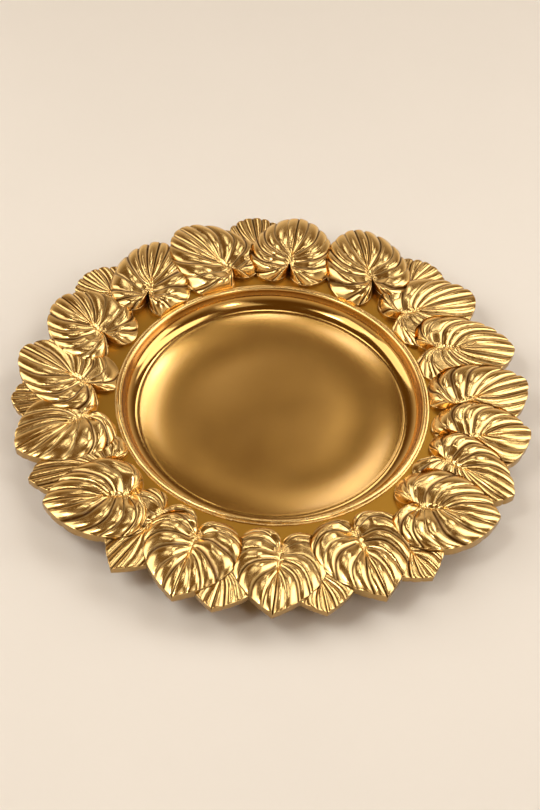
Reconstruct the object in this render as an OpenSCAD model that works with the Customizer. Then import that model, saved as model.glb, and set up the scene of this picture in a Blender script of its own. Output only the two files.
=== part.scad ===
// Charger plate: a spun dish on a turned foot ring, with a half-round bead round the well
// and a border of pleated leaves that are seated on the flat rim and lap over one another.
// Millimetres, +Z up. The origin lies on the table, on the axis of the well.

/* [Plate] */
// Diameter across the leaf tips
plate_d = 330; // [300:1:360]
// Diameter of the flat rim that carries the leaves
rim_d = 290; // [270:1:300]
// Thickness of the spun sheet
sheet = 1.6; // [1.2:0.1:2.4]
// Thickness of the round hem along the edge of the rim
hem_d = 3.6; // [2.8:0.1:5]

/* [Well] */
// Diameter of the mouth of the well
mouth_d = 191; // [170:1:200]
// Depth of the well from the rim to the flat middle of its floor
well_depth = 13.8; // [13.2:0.1:18]
// Radius of the cove between the floor and the mouth
cove_r = 10.6; // [8:0.1:11]
// Radius of the fillet under the rim
neck_r = 2; // [1:0.1:4]
// Width of the turned-up border of the floor
border_w = 45; // [30:0.5:60]
// Rise of the floor over that border
border_rise = 3.2; // [1:0.1:3.8]
// Radius of the fine groove between the floor and the cove
crease_r = 0.6; // [0.3:0.1:0.9]
// Depth of that groove below the edge of the floor
groove_d = 0.8; // [0.4:0.1:1.1]

/* [Foot ring] */
// Diameter of the middle of the foot ring
foot_d = 144; // [110:1:150]
// Height of the foot ring
foot_h = 2.6; // [2:0.1:8]
// Width of the foot ring where it is joined to the floor
foot_w = 7; // [5:0.1:9]
// Width of the face that rests on the table
foot_face = 4.4; // [3:0.1:5]

/* [Bead] */
// Width of the half-round bead
bead_w = 3.4; // [2.4:0.1:5]
// Width of the flat step outside the bead
step_w = 1; // [0.6:0.1:2]
// Height of that step
step_h = 0.6; // [0.4:0.1:1]

/* [Leaves] */
// Thickness of a leaf along its margin
leaf_edge = 3; // [2:0.1:5]
// Thickness of a leaf along its margin beside the well
lobe_edge = 1.2; // [0.8:0.1:2.6]
// Thickness of a leaf at its stem, where the pleats meet in a knot
knot_h = 3; // [2:0.1:4]
// Rise of the crown of a leaf above its margin
leaf_crown = 3.8; // [2:0.1:6]
// Height of the pleats above the grooves between them
pleat_relief = 3; // [0.8:0.1:3.4]
// Pleats on each side of the midrib
pleats = 8; // [5:1:9]
// Depth of the scallops along the margin
scallop = 1.2; // [0.2:0.1:1.6]
// Height of one of the steps by which a leaf is lifted over those that it laps
lift_step = 0.5; // [0.3:0.05:0.7]
// Gap between leaves that lap, and between the leaves and the bead
lap_gap = 0.2; // [0.1:0.05:0.4]

/* [Hidden] */
mouth_r = mouth_d / 2;
rim_r = rim_d / 2;
floor_r = mouth_r - cove_r;
floor_z = foot_h + sheet;
rim_z = floor_z + well_depth;
// Height of the lowest line of the cove
cove_z = floor_z + border_rise - groove_d;
bead_r = mouth_r + bead_w / 2;
bead_out_r = mouth_r + bead_w + step_w;
hem_r = hem_d / 2;
// Centre of the fillet under the rim, which touches the outside of the wall, and the height of the centre
// about which the wall curves there
neck_z = rim_z - sheet - neck_r;
wall_z = max(cove_z + cove_r, neck_z);
neck_x = floor_r + sqrt(pow(cove_r + sheet + neck_r, 2) - pow(wall_z - neck_z, 2));
// Width of the band between the bead and the leaf tips
band_w = plate_d / 2 - bead_r;
// Overlap that lets neighbouring areas of one section fuse
fuse = 0.5;

// Facets of turned surfaces, and steps of the curve that lifts the border of the floor
turned_fn = 144;
border_steps = 12;

// The leaves are drawn on a plan that is stretched along the radius to fit the band. Its unit is a hundredth
// of the band's width, and the bead has this radius on it.
bead_share = 143;
plan_unit = band_w / 100;
// One row for each leaf, in the order in which they are laid, so a later leaf laps over an earlier one:
// bearing of the stem, stem's distance outside the bead, turn of the midrib from the radius, width,
// reach of the lobes, distance of the tip inside the plate's outline, roundness of the tip from 0 to 1,
// steps of lift, sink of the left half and of the right half, from 0 for a full crown to 1 for a lapped half
back_rows = [
    [97, 47, 4, 68, 21, 3, 1, 0, 1, 1],
    [50, 56, 3, 68, 19, 3, 1, 0, 1, 1],
    [307, 56, 0, 68, 19, 0, 0, 0, 1, 1],
    [284, 50, -2, 72, 17, 0, 0, 0, 1, 1],
    [261, 46, -2, 74, 21, 0, 0, 0, 1, 1],
    [238, 27, 1, 74, 18, 0, 0, 0, 1, 1],
    [186, 53, 0, 68, 19, 0, 0.5, 0, 1, 1],
    [145, 53, -12, 71, 19, 4, 1, 0, 1, 1],
];
front_rows = [
    [213, 25, -12, 74, 17, 1, 0.3, 1, 1, 1],
    [42, 24, -17, 83, 16, 1, 0.8, 3, 0, 1],
    [24, 27, -20, 83, 18, 0, 0.6, 3, 0, 1],
    [0, 29, 27, 83, 19, 0, 0.5, 3, 0, 1],
    [347, 38, 24, 83, 22, 1, 0.4, 3, 0, 1],
    [337, 31, -7, 74, 21, 0, 0.4, 3, 0, 1],
    [275, 34, -9, 83, 21, 1, 0, 2, 0.5, 0],
    [297, 29, -3, 86, 18, 0, 0, 3, 0, 0],
    [318, 40, 38, 88, 21, 0, 0.3, 4, 0, 0],
    [251, 35, 5, 84, 21, 0, 0, 3, 0, 0],
    [194, 31, 23, 83, 16, 0, 0.6, 3, 0, 0.5],
    [227, 34, -36, 88, 13, 1, 0.3, 4, 0, 0],
    [181, 32, -32, 80, 21, 0, 0.7, 3, 0, 1],
    [160, 37, -25, 83, 22, 5, 0.8, 3, 0, 0.5],
    [137, 32, -50, 78, 22, 15, 0.8, 3, 0, 0],
    [108, 22, 27, 86, 15, 5, 0.8, 3, 0, 0],
    [87, 27, -3, 84, 18, 3, 0.8, 3, 0, 0],
    [60, 38, 44, 83, 24, 4, 0.8, 3, 0, 0],
];
rows = concat(back_rows, front_rows);
leaf_names = concat(
    [for (i = [1:len(back_rows)]) str("back_leaf_", i)],
    [for (i = [1:len(front_rows)]) str("front_leaf_", i)]);
last_leaf = len(rows) - 1;
// Leaves whose stems lie within this angle can lap
lap_angle = 50;
// Height of the cutters that trim the leaves, above any crown
cut_h = 40;

// Handles of the margin from the tip to the widest place, as shares of the tip's length and half the width
pointed_handles = [[1, 0], [0.84, 0.38], [0.6, 1], [0.12, 1]];
rounded_handles = [[1, 0], [0.96, 0.5], [0.66, 1], [0.12, 1]];
// Handles from there round a lobe to the notch, as shares of the lobe's reach and half the width
lobe_handles = [[-1.1, 1], [-1.85, 0.12], [-0.2, 0]];
// Places along the margin between which the tip turns into the side, and the side into a lobe
side_span = [0.25, 0.45];
lobe_span = [0.62, 0.8];
// Distances of a margin outside the bead between which its thickness grows from that beside the well
well_side = [16, 36];
// Veins that start at the stem have a place along the margin past this one; the others start on the midrib
fan_from = 0.5;
// Share of the midrib along which veins branch off, on a pointed leaf and on a rounded one
branch_shares = [0.42, 0.2];
// Share of the scallops' depth that a pointed leaf has, and a rounded one
scallop_shares = [0.4, 1];
// Length of the margin along which the scallops fade out towards the tip and the notch
scallop_fade = 0.1;
// How much closer the pleats stand at the tip than in the middle
crowding = 0.4;
// How far the veins bow away from the tip, as a share of their length, and where along the margin this ends
vein_bow = 0.4;
straight_from = 0.85;
// Share of a vein along which the leaf rises from the knot, and how much sooner it rises along the midrib
knot_share = 0.4;
branch_rise = 1.6;
// Height of the midrib as a share of the crown, and share of a vein along which the leaf rises from it
midrib_share = 0.45;
rise_share = 0.42;
// Power of the crown's profile from the midrib to the side, which makes the side steeper, and along the midrib
side_power = 0.75;
tip_power = 1.3;
// Share of its crown that a leaf loses when both of its halves are lapped
lapped_loss = 0.4;
// How quickly the two halves part from their mean height away from the tip and the notch
parting = 6;
// Share of a vein past which its pleat falls to a rounded end, and what is left there at the tip and the side
end_from = 0.72;
end_shares = [0.75, 0.4];
// Places of the groove and the two shoulders of one pleat, as shares of its width
pleat_marks = [0, 0.28, 0.72];
// Places of the rows of points from the midrib to the margin
ring_marks = [0.26, 0.54, 0.84, 1];

function bezier(p, a) =
    pow(1 - a, 3) * p[0] + 3 * pow(1 - a, 2) * a * p[1] + 3 * (1 - a) * a * a * p[2] + pow(a, 3) * p[3];
function smooth(from, to, x) = let (a = min(1, max(0, (x - from) / (to - from)))) a * a * (3 - 2 * a);
function mix(a, b, share) = a + (b - a) * share;

function turned(angle, p) = [p[0] * cos(angle) - p[1] * sin(angle), p[0] * sin(angle) + p[1] * cos(angle)];

// Sizes of leaf i on the plan: distance of its stem from the axis, length to the tip, half its width, lobes
function stem_r(i) = bead_share + rows[i][1];
function tip_len(i) =
    let (turn = rows[i][2], reach = bead_share + 100 - rows[i][5])
    sqrt(pow(reach, 2) - pow(stem_r(i) * sin(turn), 2)) - stem_r(i) * cos(turn);
function half_w(i) = rows[i][3] / 2;
function lobe_reach(i) = rows[i][4];

// Margin of half a leaf, from the tip at t = 0 to the notch between the lobes at t = 1
function margin(i, t) =
    let (
        tip_handles = mix(pointed_handles, rounded_handles, rows[i][6]),
        tip_curve = [for (h = tip_handles) [h[0] * tip_len(i), h[1] * half_w(i)]],
        lobe_curve = [for (h = lobe_handles) [h[0] * lobe_reach(i), h[1] * half_w(i)]])
    t < 0.5 ? bezier(tip_curve, 2 * t) : bezier(concat([tip_curve[3]], lobe_curve), 2 * t - 1);

// Share of the pleats between the tip and the place t, and the place that has a given share
function pleat_share(t) = t * (1 + crowding * (1 - t));
function pleat_place(share) =
    (1 + crowding - sqrt(pow(1 + crowding, 2) - 4 * crowding * share)) / (2 * crowding);
// Height of a pleat above its grooves, from 0 to 1, rounded like half a tube
function ridge(t) =
    let (count = pleat_share(t) * pleats, x = 2 * (count - floor(count)) - 1) sqrt(max(0, 1 - x * x));

// Start of the vein t on the midrib, and a point at the share s along it
function vein_root(i, t) =
    [max(0, mix(branch_shares[0], branch_shares[1], rows[i][6]) * tip_len(i) * (1 - t / fan_from)), 0];
function vein_point(i, t, s) =
    let (
        root = vein_root(i, t),
        run = margin(i, t) - root,
        out = run / norm(run),
        depth = scallop * mix(scallop_shares[0], scallop_shares[1], rows[i][6]),
        wave = (ridge(t) - 0.5) * smooth(0, scallop_fade, t) * smooth(0, scallop_fade, 1 - t),
        end = margin(i, t) + out * wave * depth / plan_unit,
        bow = vein_bow * sin(180 * min(1, t / straight_from)),
        bend = root + (end - root) / 2 + bow * norm(run) * [-out[1], out[0]])
    pow(1 - s, 2) * root + 2 * (1 - s) * s * bend + s * s * end;

// Where a point in the axes of leaf i, with the stem at the origin and the tip along +X, lies on the plate
function on_plate(i, p) =
    let (plan = turned(rows[i][0], [stem_r(i), 0] + turned(rows[i][2], p)), r = norm(plan))
    plan / r * (bead_r + (r - bead_share) * plan_unit);

// Distance of the margin of leaf i outside the bead, at the place t on one side
function margin_out(i, t, side) =
    let (p = margin(i, t)) norm([stem_r(i), 0] + turned(rows[i][2], [p[0], side * p[1]])) - bead_share;

// Height of the top of leaf i: it rises from the knot to a crown on each side of the midrib and falls to the
// margin, or on a half that another leaf laps, slopes softly from the midrib
function leaf_top(i, t, s, side) =
    let (
        row = rows[i],
        even = (row[8] + row[9]) / 2,
        sink = mix(even, side > 0 ? row[8] : row[9], min(1, parting * t, parting * (1 - t))),
        along = vein_root(i, t)[0] / tip_len(i),
        steepness = smooth(side_span[0], side_span[1], t) - smooth(lobe_span[0], lobe_span[1], t),
        fall = pow(1 - pow(s, 3), mix(1, side_power, steepness)),
        crown = fall * mix(midrib_share, 1, smooth(0, rise_share, s)),
        slope = midrib_share * pow(1 - s, 2),
        dome = leaf_crown * (1 - lapped_loss * even) * (1 - pow(along, tip_power)) * mix(crown, slope, sink),
        full_edge = leaf_edge + lift_step * row[7],
        edge = mix(lobe_edge, full_edge, smooth(well_side[0], well_side[1], margin_out(i, t, side))),
        foot = mix(full_edge, edge, smooth(knot_share, 1, s)),
        past = max(0, (s - end_from) / (1 - end_from)),
        end_share = mix(end_shares[0], end_shares[1], smooth(side_span[0], side_span[1], t)),
        swell = smooth(0, ring_marks[0], s) * mix(end_share, 1, sqrt(max(0, 1 - past * past))))
    mix(knot_h, foot + dome, smooth(0, knot_share, s + branch_rise * along)) + pleat_relief * ridge(t) * swell;

// Places of the veins on one half, and signed places once round the margin from the notch over the left side
half_marks = [for (p = [0:pleats - 1]) for (m = pleat_marks) pleat_place((p + m) / pleats)];
half_count = len(half_marks);
around = concat([1], [for (k = [half_count - 1:-1:0]) half_marks[k]],
    [for (k = [1:half_count - 1]) -half_marks[k]]);
columns = len(around);
branch_count = len([for (t = half_marks) if (t < fan_from) t]);

function place(i, signed, s) =
    let (
        t = abs(signed),
        side = signed < 0 ? -1 : 1,
        p = vein_point(i, t, s),
        q = on_plate(i, [p[0], side * p[1]]))
    [q[0], q[1], leaf_top(i, t, s, side)];
function outline(i) = [for (signed = around) let (p = place(i, signed, 1)) [p[0], p[1]]];

// Number of the midrib point at which the vein of column c starts
function root_id(c) =
    let (k = c <= half_count ? half_count - c : c - half_count) min(k, branch_count);
function ring_id(ring, c) = branch_count + 1 + ring * columns + c % columns;

module leaf_body(i) {
    rings = len(ring_marks);
    roots = [for (k = [0:branch_count]) place(i, k < branch_count ? half_marks[k] : 1, 0)];
    tops = [for (s = ring_marks) for (signed = around) place(i, signed, s)];
    seat = [for (p = outline(i)) [p[0], p[1], 0]];
    middle = branch_count + 1 + (rings + 1) * columns;
    faces = concat(
        [for (c = [0:columns - 1]) [root_id(c < half_count ? c + 1 : c), ring_id(0, c), ring_id(0, c + 1)]],
        [for (c = [0:columns - 1]) if (root_id(c) != root_id(c + 1))
            [root_id(c), ring_id(0, c < half_count ? c : c + 1), root_id(c + 1)]],
        [for (r = [0:rings - 1]) for (c = [0:columns - 1])
            [ring_id(r, c), ring_id(r + 1, c), ring_id(r + 1, c + 1)]],
        [for (r = [0:rings - 1]) for (c = [0:columns - 1])
            [ring_id(r, c), ring_id(r + 1, c + 1), ring_id(r, c + 1)]],
        [for (c = [0:columns - 1]) [middle, ring_id(rings, c + 1), ring_id(rings, c)]]);
    stem = on_plate(i, [0, 0]);
    polyhedron(concat(roots, tops, seat, [[stem[0], stem[1], 0]]), [for (f = faces) [f[0], f[2], f[1]]]);
}

function bearing_gap(i, k) = let (d = abs(rows[i][0] - rows[k][0])) min(d, 360 - d);

// Leaves that lap over leaf i, and the room that they take
function laid_over(i) = [for (k = [i + 1:1:last_leaf]) if (bearing_gap(i, k) < lap_angle) k];
module cover(i) {
    linear_extrude(cut_h)
        offset(delta = lap_gap)
            for (k = laid_over(i)) polygon(outline(k));
}

module leaf(i) {
    color(i < len(back_rows) ? "#A8792C" : "#C9983F")
        translate([0, 0, rim_z])
            difference() {
                leaf_body(i);
                if (len(laid_over(i)) > 0) translate([0, 0, -cut_h / 2]) cover(i);
                translate([0, 0, -cut_h / 2]) cylinder(r = bead_out_r + lap_gap, h = cut_h, $fn = turned_fn);
            }
}

// Floor with its border turned up and a fine groove at its edge, flat below as far as the foot ring
module floor_section() {
    below = [[0, floor_z], [0, foot_h], [(foot_d + foot_w) / 2, foot_h], [floor_r, cove_z - sheet]];
    border = [for (k = [border_steps:-1:0])
        [floor_r - border_w * (1 - k / border_steps), floor_z + border_rise * pow(k / border_steps, 3)]];
    difference() {
        polygon(concat(below, border));
        translate([floor_r, cove_z + crease_r]) circle(r = crease_r, $fn = turned_fn);
    }
}

// Quarter ring of sheet that rises from the floor to the mouth
module cove_section() {
    translate([floor_r, cove_z + cove_r])
        difference() {
            intersection() {
                circle(r = cove_r + sheet, $fn = turned_fn);
                translate([-fuse, -cove_r - sheet]) square([cove_r + sheet + fuse, cove_r + sheet]);
            }
            circle(r = cove_r, $fn = turned_fn);
        }
}

// Neck above the cove, flat rim with a fillet below it, and the round hem
module rim_section() {
    wall_top = cove_z + cove_r - fuse;
    translate([mouth_r, wall_top]) square([sheet, rim_z - wall_top]);
    translate([mouth_r, rim_z - sheet]) square([rim_r - hem_r - mouth_r, sheet]);
    translate([rim_r - hem_r, rim_z - hem_r]) circle(r = hem_r, $fn = turned_fn);
    neck = [neck_x, neck_z];
    wall = [floor_r, wall_z];
    within = wall + (neck - wall) * (cove_r + sheet / 2) / (cove_r + sheet + neck_r);
    seam_z = rim_z - sheet + fuse;
    difference() {
        polygon([within, neck, [neck_x, seam_z], [mouth_r + sheet / 2, seam_z]]);
        translate(neck) circle(r = neck_r, $fn = turned_fn);
    }
}

module dish() {
    color("#9C6F29")
        rotate_extrude($fn = turned_fn) {
            floor_section();
            cove_section();
            rim_section();
        }
}

module foot_ring() {
    color("#8A6225")
        rotate_extrude($fn = turned_fn)
            translate([foot_d / 2, 0])
                polygon([[-foot_face / 2, 0], [foot_face / 2, 0], [foot_w / 2, foot_h], [-foot_w / 2, foot_h]]);
}

module well_bead() {
    color("#D8AC55")
        translate([0, 0, rim_z])
            rotate_extrude($fn = turned_fn) {
                intersection() {
                    translate([bead_r, 0]) circle(d = bead_w, $fn = turned_fn);
                    translate([mouth_r, 0]) square([bead_w, bead_w]);
                }
                translate([bead_r, 0]) square([bead_w / 2 + step_w, step_h]);
            }
}

dish();
foot_ring();
well_bead();
for (i = [0:last_leaf])
    leaf(i);
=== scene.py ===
"""Charger plate: the looks of a gold-lacquered plate with a border of pleated leaves.

Metres, +Z up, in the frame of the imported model.
Run as a script; each operator can also be run from the sidebar.
"""

import math
from types import SimpleNamespace

import bmesh
import bpy
from mathutils import Matrix, Vector


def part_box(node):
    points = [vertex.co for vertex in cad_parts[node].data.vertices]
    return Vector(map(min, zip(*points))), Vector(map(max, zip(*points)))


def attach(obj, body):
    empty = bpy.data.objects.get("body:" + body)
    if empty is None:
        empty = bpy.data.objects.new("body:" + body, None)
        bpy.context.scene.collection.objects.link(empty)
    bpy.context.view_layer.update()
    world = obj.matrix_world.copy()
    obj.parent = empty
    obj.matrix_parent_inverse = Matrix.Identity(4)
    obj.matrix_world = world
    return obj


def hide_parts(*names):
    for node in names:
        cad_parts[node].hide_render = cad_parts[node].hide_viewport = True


bl_info = {
    "name": "Charger plate",
    "version": (1, 0, 0),
    "blender": (4, 5, 0),
    "location": "3D View > Sidebar > Charger plate",
    "description": "Dresses a charger plate: spun dish, bead, foot ring and a border of pleated leaves",
    "category": "Object",
}

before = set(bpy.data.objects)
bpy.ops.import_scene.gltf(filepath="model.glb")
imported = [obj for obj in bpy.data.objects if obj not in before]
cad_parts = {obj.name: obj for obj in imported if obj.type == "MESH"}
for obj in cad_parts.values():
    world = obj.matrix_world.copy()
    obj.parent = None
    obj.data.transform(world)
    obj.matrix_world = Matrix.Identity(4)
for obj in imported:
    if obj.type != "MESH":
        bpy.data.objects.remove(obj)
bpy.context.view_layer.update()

MM = 0.001

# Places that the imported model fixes
DISH_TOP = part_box("dish")[1]
RIM_Z = DISH_TOP.z
RIM_R = DISH_TOP.x
BEAD_OUT_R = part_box("well_bead")[1].x
FOOT_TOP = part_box("foot_ring")[1]

# On the plan of the leaves lengths are hundredths of the band between the bead and the leaf tips:
# width of the band, and radius of the bead
BAND = 100
BEAD_SHARE = 143

# One row for each leaf, in the order in which they are laid, so a later leaf laps over an earlier one:
# bearing of the stem, stem's distance outside the bead, turn of the midrib from the radius, width,
# reach of the lobes, distance of the tip inside the plate's outline, roundness of the tip from 0 to 1,
# steps of lift, and sink of the left half and of the right half, from 0 for a full crown to 1 for a lapped
# half. Lengths are hundredths of the band, angles are degrees.
BACK_ROWS = (
    (97, 47, 4, 68, 21, 3, 1, 0, 1, 1),
    (50, 56, 3, 68, 19, 3, 1, 0, 1, 1),
    (307, 56, 0, 68, 19, 0, 0, 0, 1, 1),
    (284, 50, -2, 72, 17, 0, 0, 0, 1, 1),
    (261, 46, -2, 74, 21, 0, 0, 0, 1, 1),
    (238, 27, 1, 74, 18, 0, 0, 0, 1, 1),
    (186, 53, 0, 68, 19, 0, 0.5, 0, 1, 1),
    (145, 53, -12, 71, 19, 4, 1, 0, 1, 1),
)
FRONT_ROWS = (
    (213, 25, -12, 74, 17, 1, 0.3, 1, 1, 1),
    (42, 24, -17, 83, 16, 1, 0.8, 3, 0, 1),
    (24, 27, -20, 83, 18, 0, 0.6, 3, 0, 1),
    (0, 29, 27, 83, 19, 0, 0.5, 3, 0, 1),
    (347, 38, 24, 83, 22, 1, 0.4, 3, 0, 1),
    (337, 31, -7, 74, 21, 0, 0.4, 3, 0, 1),
    (275, 34, -9, 83, 21, 1, 0, 2, 0.5, 0),
    (297, 29, -3, 86, 18, 0, 0, 3, 0, 0),
    (318, 40, 38, 88, 21, 0, 0.3, 4, 0, 0),
    (251, 35, 5, 84, 21, 0, 0, 3, 0, 0),
    (194, 31, 23, 83, 16, 0, 0.6, 3, 0, 0.5),
    (227, 34, -36, 88, 13, 1, 0.3, 4, 0, 0),
    (181, 32, -32, 80, 21, 0, 0.7, 3, 0, 1),
    (160, 37, -25, 83, 22, 5, 0.8, 3, 0, 0.5),
    (137, 32, -50, 78, 22, 15, 0.8, 3, 0, 0),
    (108, 22, 27, 86, 15, 5, 0.8, 3, 0, 0),
    (87, 27, -3, 84, 18, 3, 0.8, 3, 0, 0),
    (60, 38, 44, 83, 24, 4, 0.8, 3, 0, 0),
)
LEAF_ROWS = BACK_ROWS + FRONT_ROWS
LEAF_NAMES = ([f"back_leaf_{n + 1}" for n in range(len(BACK_ROWS))]
              + [f"front_leaf_{n + 1}" for n in range(len(FRONT_ROWS))])
# Leaves whose stems lie within this angle, in degrees, can lap
LAP_ANGLE = 50
# Height of the prisms that trim a lapped leaf, and how far they start below the rim
PRISM_H = 60 * MM
PRISM_SUNK = 20 * MM

# Numbers that the tree of a leaf takes
LEAF_INPUTS = (
    "Tip length", "Half width", "Lobe reach", "Roundness", "Lift", "Left sink", "Right sink", "Bearing",
    "Stem radius", "Turn", "Seed", "Edge", "Lobe edge", "Knot", "Crown", "Relief", "Pleats", "Scallop",
    "Shoulder", "Undercut", "Margin gap", "Seat height", "Bead radius", "Plan unit",
)

# Rows of points of a leaf: over the top, round the margin's shoulder, down its wall and back below.
# Those on top crowd towards the midrib and the margin. Each pleat has the same number of columns.
TOP_RINGS = 38
SHOULDER_RINGS = 4
WALL_RINGS = 1
UNDER_RINGS = 1
RING_CROWDING = 0.08
PLEAT_COLUMNS = 20
# Points this close are one
MERGE = 0.001 * MM
# Faces that meet at a greater angle, in degrees, keep a sharp edge
SHARP_LEAF = 48
SHARP_TURNED = 40

# Handles of a leaf's margin: from the tip to the widest place, as shares of the tip's length and half the
# width, and from there round a lobe to the notch, as shares of the lobe's reach and half the width
POINTED_HANDLES = ((1, 0), (0.84, 0.38), (0.6, 1), (0.12, 1))
ROUNDED_HANDLES = ((1, 0), (0.96, 0.5), (0.66, 1), (0.12, 1))
LOBE_HANDLES = ((-1.1, 1), (-1.85, 0.12), (-0.2, 0))

# A place along the margin runs from 0 at the tip to 1 at the notch, and a place along a vein from 0 at the
# midrib or the stem to 1 at the margin.
# Veins past this place along the margin start at the stem, and the others branch off the midrib
FAN_FROM = 0.5
# Where the vein to the tip branches off, as a share of the length of a pointed and of a rounded leaf
BRANCH_SHARES = (0.42, 0.2)
# Sideways offset of a vein's handle as a share of its length, and the place past which veins are straight
VEIN_BOW = 0.4
STRAIGHT_FROM = 0.97

# How much closer the pleats lie at the tip
CROWDING = 0.4
# Strength of the veins' sway and its turns along the margin, and its share and turns along a vein
SWAY = 0.9
SWAY_TURNS = 2
VEIN_SWAY = 0.6
VEIN_TURNS = 0.9
# Columns this close to a groove, as a share of a pleat, count as past it
ON_GROOVE = 0.001
# Numbers kept for the pleats of half a leaf, so that no two halves draw the same ones
PLEAT_IDS = 40
# Ranges of what is drawn by chance: a pleat's lean, a groove's depth and a pleat's gain in height
LEANS = (0.75, 1.35)
DEPTHS = (0.5, 1.3)
GAINS = (-0.2, 0)
# Place along the margin from which the grooves deepen to a full one at the notch
NOTCH_FROM = 0.96
# Share of the margin over which the scallops die out at the tip and the notch, and the share of their
# depth that a pointed leaf has
PLAIN_ENDS = 0.1
POINTED_SCALLOP = 0.4

# Height of the midrib as a share of the crown, and the place along a vein where the crown is full
MIDRIB_SHARE = 0.45
RISE_SHARE = 0.42
# Powers of the crown's fall: along a vein, on the flanks, and along the midrib
CROWN_POWER = 4
FLANK_POWER = 0.75
TIP_POWER = 1.3
# Places along the margin between which the flanks begin, and the lobes
FLANKS = (0.25, 0.45)
LOBES = (0.62, 0.8)
# Share of the crown that a leaf lapped on both sides loses
LAPPED_LOSS = 0.4
# How fast each half takes its own sink, away from the tip and the notch
SETTLE_RATE = 6
# Distances of a margin outside the bead between which it rises from the lobes' thickness to the full one,
# and the place along a vein from which that counts
WELL_SIDE = (16, 36)
EDGE_FROM = 0.4
# Distances outside the bead between which a lobe rolls down, and the share of its height that is left
ROLL_FROM = (3, 12)
ROLL_LEFT = 0.25

# Width of a pleat at the midrib and where it reaches its full height, as shares of its width at the margin
ROOT_SHARE = 0.5
FULL_WIDTH = 0.75
# Stretch of the margin over which that width at the midrib dies out towards the veins from the stem
FAN_BLEND = 0.2
# Place along a vein where the pleats have left the midrib
RIB_SHARE = 0.06
# Place along a vein from which the pleats sink, the shares that are left at the margin by the tip and past
# it, and the places along the margin between which one turns to the other
SINK_FROM = 0.72
MARGIN_RELIEF = (0.9, 0.8)
PAST_TIP = (0.15, 0.4)
# Reach of the knot along a vein, and how much faster it dies out along the midrib
KNOT_REACH = 0.4
KNOT_RATE = 1.6
# Width and height of the nodules at the stem, and distances from it between which they die out
NODULE = 1.3 * MM
NODULE_H = NODULE / 2
CLUSTER = (2.2 * MM, 4 * MM)
# Dark wax and painted shade in the grooves: places along a vein between which they set in, depths of a
# groove at which they start and are full, and the share of painted shade on the margin's wall and below
WAX_AND_SHADE_FROM = (0.02, 0.12)
WAX_AND_SHADE_DEPTHS = (0.15, 0.7)
PAINTED_WALL_SHADE = 0.5

# Steps along the profiles of the turned pieces, and their eased corners
FLOOR_STEPS = 8
BORDER_STEPS = 40
CREASE_STEPS = 8
COVE_STEPS = 40
HEM_STEPS = 24
NECK_STEPS = 8
UNDER_STEPS = 32
BEAD_STEPS = 32
FOOT_EASE = 0.5 * MM
BEAD_EASE = 0.2 * MM
# Radius below which a point of a profile lies on the axis
ON_AXIS = 1e-6

# Half the floor's side, and the distances between which it runs into the backdrop, in metres
FLOOR_HALF = 6
BACKDROP_FROM = (0.5, 1.3)
# Share of the floor's colour in its darker clouds
CLOUD_SHARE = 0.96
# Heights between which the wall round the table fades out, as the sine of their angle above the table
WALL_FADE = (0.05, 0.65)
# Softboxes: bearing and elevation as seen from the plate in degrees, distance, width and height in metres,
# and watts
SOFTBOXES = (
    ("back right panel", 73, 50, 8, 0.5, 1.9, 16),
    ("back right low panel", 79.5, 50, 8, 0.5, 1.4, 7),
    ("back right spot", 73, 54, 8, 0.35, 0.5, 6),
    ("back low panel", 96.5, 40.5, 8, 0.8, 1.8, 14),
    ("back high panel", 104, 61, 8, 0.8, 0.8, 10),
    ("back top panel", 86, 68, 8, 0.8, 0.56, 10),
    ("overhead left softbox", 205, 51, 1.4, 0.6, 0.9, 4.4),
    ("left card", 211, 63, 1.4, 0.12, 0.2, 1.8),
    ("front right strip", 308, 48, 1.4, 0.4, 1.2, 1.6),
    ("front card", 308, 44, 1.4, 0.12, 0.3, 1.6),
    ("right softbox", 25, 52, 1.4, 0.7, 0.9, 6.5),
    ("right window", 8, 20, 1.4, 0.8, 0.7, 5.5),
    ("left window", 170, 34, 1.4, 0.9, 1.0, 7),
)
# Long side of the camera's sensor, in millimetres
SENSOR = 36


def linear(hex_colour):
    """Linear red, green and blue of an sRGB colour such as "#C9983F"."""
    shares = [int(hex_colour[k:k + 2], 16) / 255 for k in (1, 3, 5)]
    return [c / 12.92 if c <= 0.04045 else ((c + 0.055) / 1.055) ** 2.4 for c in shares]


def add_node(tree, kind, inputs=(), **settings):
    """Adds a node, sets its properties, and links or sets its inputs, given by name or number."""
    node = tree.nodes.new(kind)
    for key, value in settings.items():
        setattr(node, key, value)
    for key, value in dict(inputs).items():
        if isinstance(value, Field):
            value = value.socket
        if isinstance(value, bpy.types.NodeSocket):
            tree.links.new(value, node.inputs[key])
        else:
            node.inputs[key].default_value = value
    return node


class Field:
    """A number that a tree works out at every point, so that a formula can be written as one."""

    def __init__(self, socket):
        self.socket = socket

    def math(self, operation, *others):
        tree = self.socket.id_data
        node = add_node(tree, "ShaderNodeMath", enumerate((self, *others)), operation=operation)
        return Field(node.outputs[0])

    def __add__(self, other):
        return self.math("ADD", other)

    def __sub__(self, other):
        return self.math("SUBTRACT", other)

    def __mul__(self, other):
        return self.math("MULTIPLY", other)

    def __truediv__(self, other):
        return self.math("DIVIDE", other)

    def __pow__(self, other):
        return self.math("POWER", other)

    def __rsub__(self, other):
        return self.math("MULTIPLY_ADD", -1, other)

    def __abs__(self):
        return self.math("ABSOLUTE")

    __radd__ = __add__
    __rmul__ = __mul__


def clamped(x):
    """A field kept between 0 and 1."""
    return x.math("MAXIMUM", 0).math("MINIMUM", 1)


def smooth(x, low, high):
    """A field that goes from 0 to 1 between two values, with level ends."""
    a = clamped((x - low) / (high - low))
    return a * a * (3 - 2 * a)


def mix(a, b, share):
    """What lies between two values, at a share of the way."""
    return a + (b - a) * share


def length(x, y):
    """Length of a flat vector of two fields."""
    return (x * x + y * y).math("SQRT")


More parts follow.
